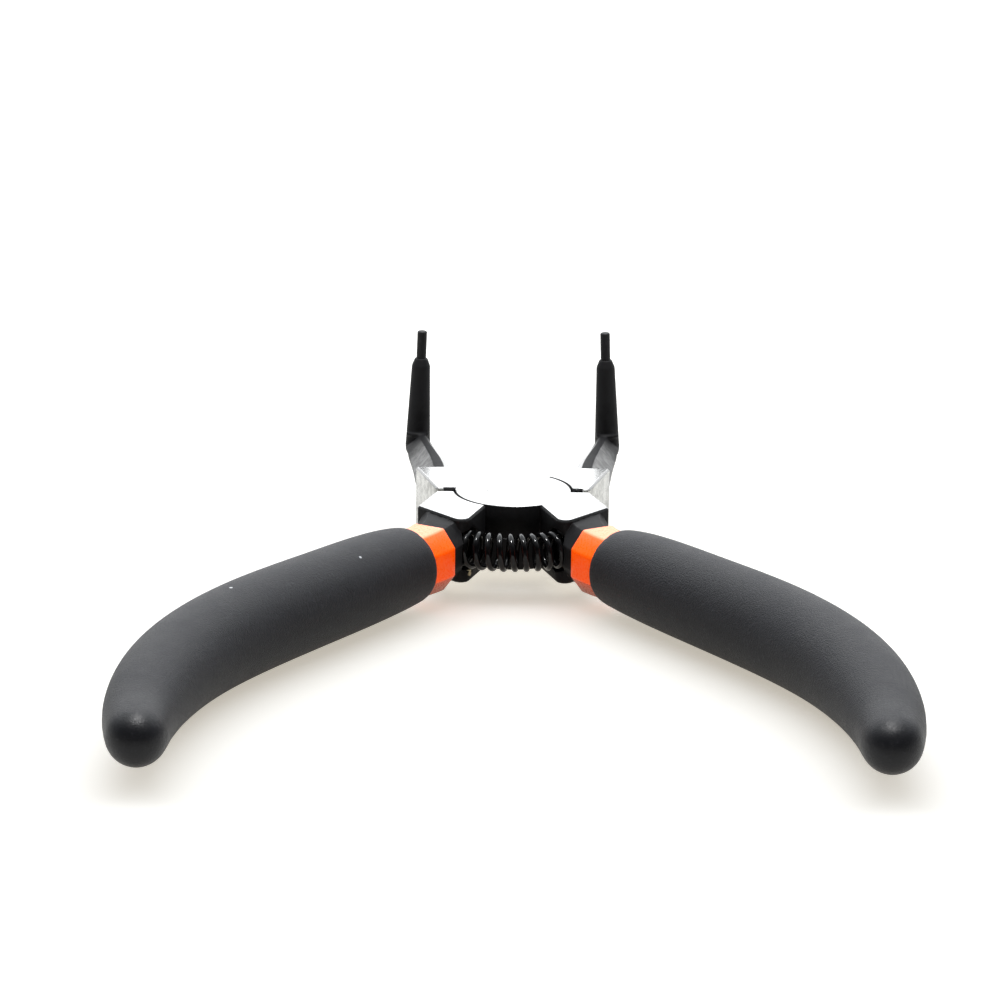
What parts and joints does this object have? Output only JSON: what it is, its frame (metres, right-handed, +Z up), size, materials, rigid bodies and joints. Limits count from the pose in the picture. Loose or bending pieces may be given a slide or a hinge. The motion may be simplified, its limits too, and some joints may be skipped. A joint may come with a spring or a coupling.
{
  "type": "internal circlip pliers",
  "caption": "Small internal circlip pliers with tips bent up at a right angle, a lapped pivot, an opening spring and dipped two-colour handles.",
  "frame": {"origin": "centre of the footprint on the plane the tool lies on, handles open", "axes": "+Z up, +Y from the handles to the jaws along the tool's centre line, +X to the right seen from the handles"},
  "size_m": [0.0912, 0.114, 0.0233],
  "materials": {
    "forged_steel": "head ground bright, jaws and arms black phosphated",
    "rivet_steel": "ground flush",
    "black_pin": "black oxide, satin",
    "black_spring": "black oxide, oiled",
    "orange_sleeve": "smooth dipped vinyl",
    "black_grip": "fine grained matt"
  },
  "bodies": {
    "lower_lever": {"lower_half": "forged_steel", "pivot_rivet": "rivet_steel", "coil_spring": "black_spring", "right_tip_pin": "black_pin", "left_sleeve": "orange_sleeve", "left_grip": "black_grip"},
    "upper_lever": {"upper_half": "forged_steel", "left_tip_pin": "black_pin", "right_sleeve": "orange_sleeve", "right_grip": "black_grip"}
  },
  "joints": [
    {"name": "pivot_hinge", "type": "hinge", "parent": "lower_lever", "child": "upper_lever", "pos_m": [0, 0.02588, 0.00578], "axis": [0, 0, 1], "range_deg": [-40.5, 5], "stiffness_Nm_per_rad": 0.4, "deforming": ["coil_spring"]}
  ]
}
